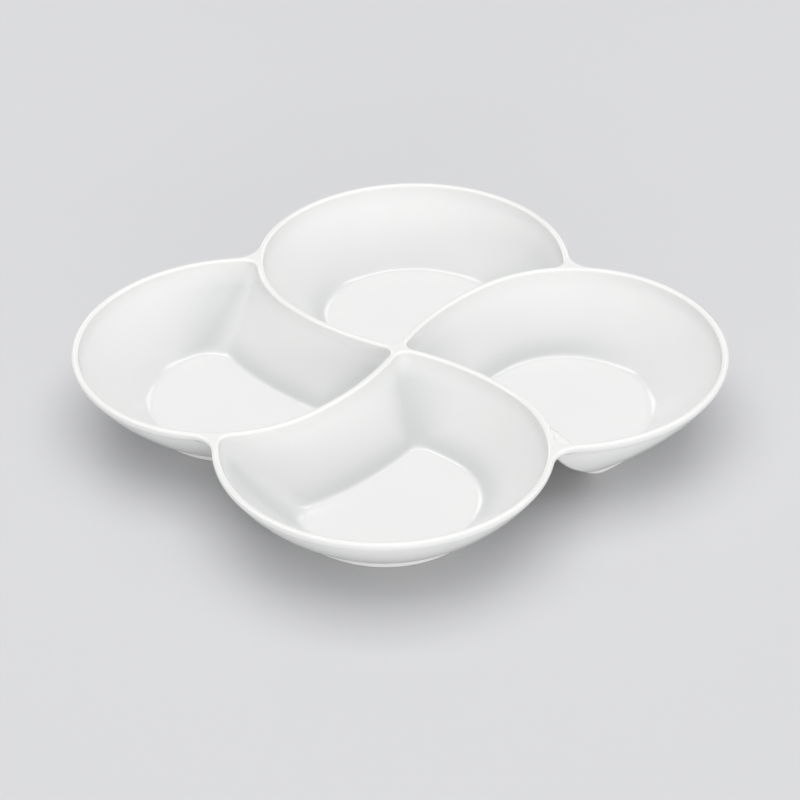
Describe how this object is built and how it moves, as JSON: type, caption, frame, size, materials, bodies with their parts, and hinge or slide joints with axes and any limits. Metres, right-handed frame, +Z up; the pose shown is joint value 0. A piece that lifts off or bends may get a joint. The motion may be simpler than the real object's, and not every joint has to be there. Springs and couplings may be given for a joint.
{
  "type": "divided serving dish",
  "caption": "Divided serving dish: leaf-shaped bowls turned round one centre like a pinwheel, under one rounded rim, each on its own foot ring.",
  "frame": {"origin": "centre of the dish, where the dividers cross, on the plane that the foot rings stand on", "axes": "+Z up out of the bowls; the right bowl lies along +X and the back bowl along +Y"},
  "size_m": [0.255, 0.255, 0.0312],
  "materials": {
    "glaze": "white gloss glaze",
    "foot": "bare fired clay, fine matt"
  },
  "bodies": {
    "root": {"rim_right": "glaze", "rim_back": "glaze", "rim_left": "glaze", "rim_front": "glaze", "bowl_right": "glaze", "bowl_back": "glaze", "bowl_left": "glaze", "bowl_front": "glaze", "foot_ring_right": "foot", "foot_ring_back": "foot", "foot_ring_left": "foot", "foot_ring_front": "foot"}
  },
  "joints": []
}
